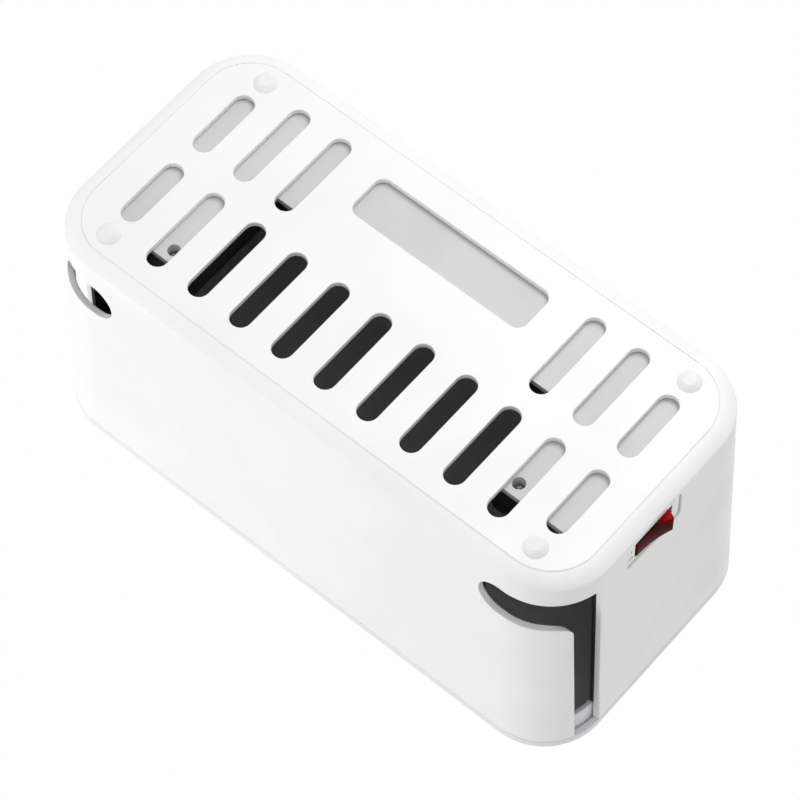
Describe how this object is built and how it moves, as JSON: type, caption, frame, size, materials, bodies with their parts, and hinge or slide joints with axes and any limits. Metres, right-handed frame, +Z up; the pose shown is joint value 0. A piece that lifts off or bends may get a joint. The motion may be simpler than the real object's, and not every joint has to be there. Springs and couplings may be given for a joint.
{
  "type": "cable management box",
  "caption": "Free-standing box with a lift-off lid, corner cable exits and a built-in power strip with a mains rocker switch.",
  "frame": {"origin": "centre of the box's outline on the surface that the feet stand on", "axes": "+X along the box to the end with the switch, +Y to the long side with the cable exits, +Z up"},
  "size_m": [0.2676, 0.1296, 0.1285],
  "materials": {
    "shell_white": "satin white moulded ABS, faint texture",
    "lid_white": "satin white moulded ABS",
    "foot_white": "smooth white domes",
    "liner_black": "matte black",
    "cover_grey": "light grey, fine texture",
    "housing_black": "matte black, fine texture",
    "socket_black": "matte black",
    "screw_steel": "zinc plated",
    "contact_brass": "stamped strip",
    "terminal_brass": "tinned blades",
    "board_green": "glass-fibre board",
    "usb_steel": "folded shell with plastic tongue",
    "ferrite_dark": "ferrite and tape",
    "bezel_white": "white bezel",
    "rocker_red": "translucent red",
    "gland_black": "black bush"
  },
  "bodies": {
    "box": {"outer_shell": "shell_white", "feet": "foot_white", "inner_liner": "liner_black", "strip_cover": "cover_grey", "strip_housing": "housing_black", "cover_screws": "screw_steel", "mounting_screws": "screw_steel", "socket_insert_1": "socket_black", "socket_insert_2": "socket_black", "socket_insert_3": "socket_black", "socket_insert_4": "socket_black", "socket_insert_5": "socket_black", "live_bar": "contact_brass", "neutral_bar": "contact_brass", "earth_bar": "contact_brass", "usb_board": "board_green", "usb_port_1": "usb_steel", "usb_port_2": "usb_steel", "usb_port_3": "usb_steel", "usb_transformer": "ferrite_dark", "switch_frame": "bezel_white", "switch_terminals": "terminal_brass", "cord_gland": "gland_black"},
    "lid": {"lid": "lid_white"},
    "rocker": {"switch_rocker": "rocker_red"}
  },
  "joints": [
    {"name": "lid_lift", "type": "slide", "parent": "box", "child": "lid", "axis": [0, 0, 1], "range_m": [0, 0.04]},
    {"name": "rocker_tilt", "type": "hinge", "parent": "box", "child": "rocker", "pos_m": [0.12451, 0.0065, 0.016], "axis": [0, 0, 1], "range_deg": [-21.8, 0]}
  ]
}
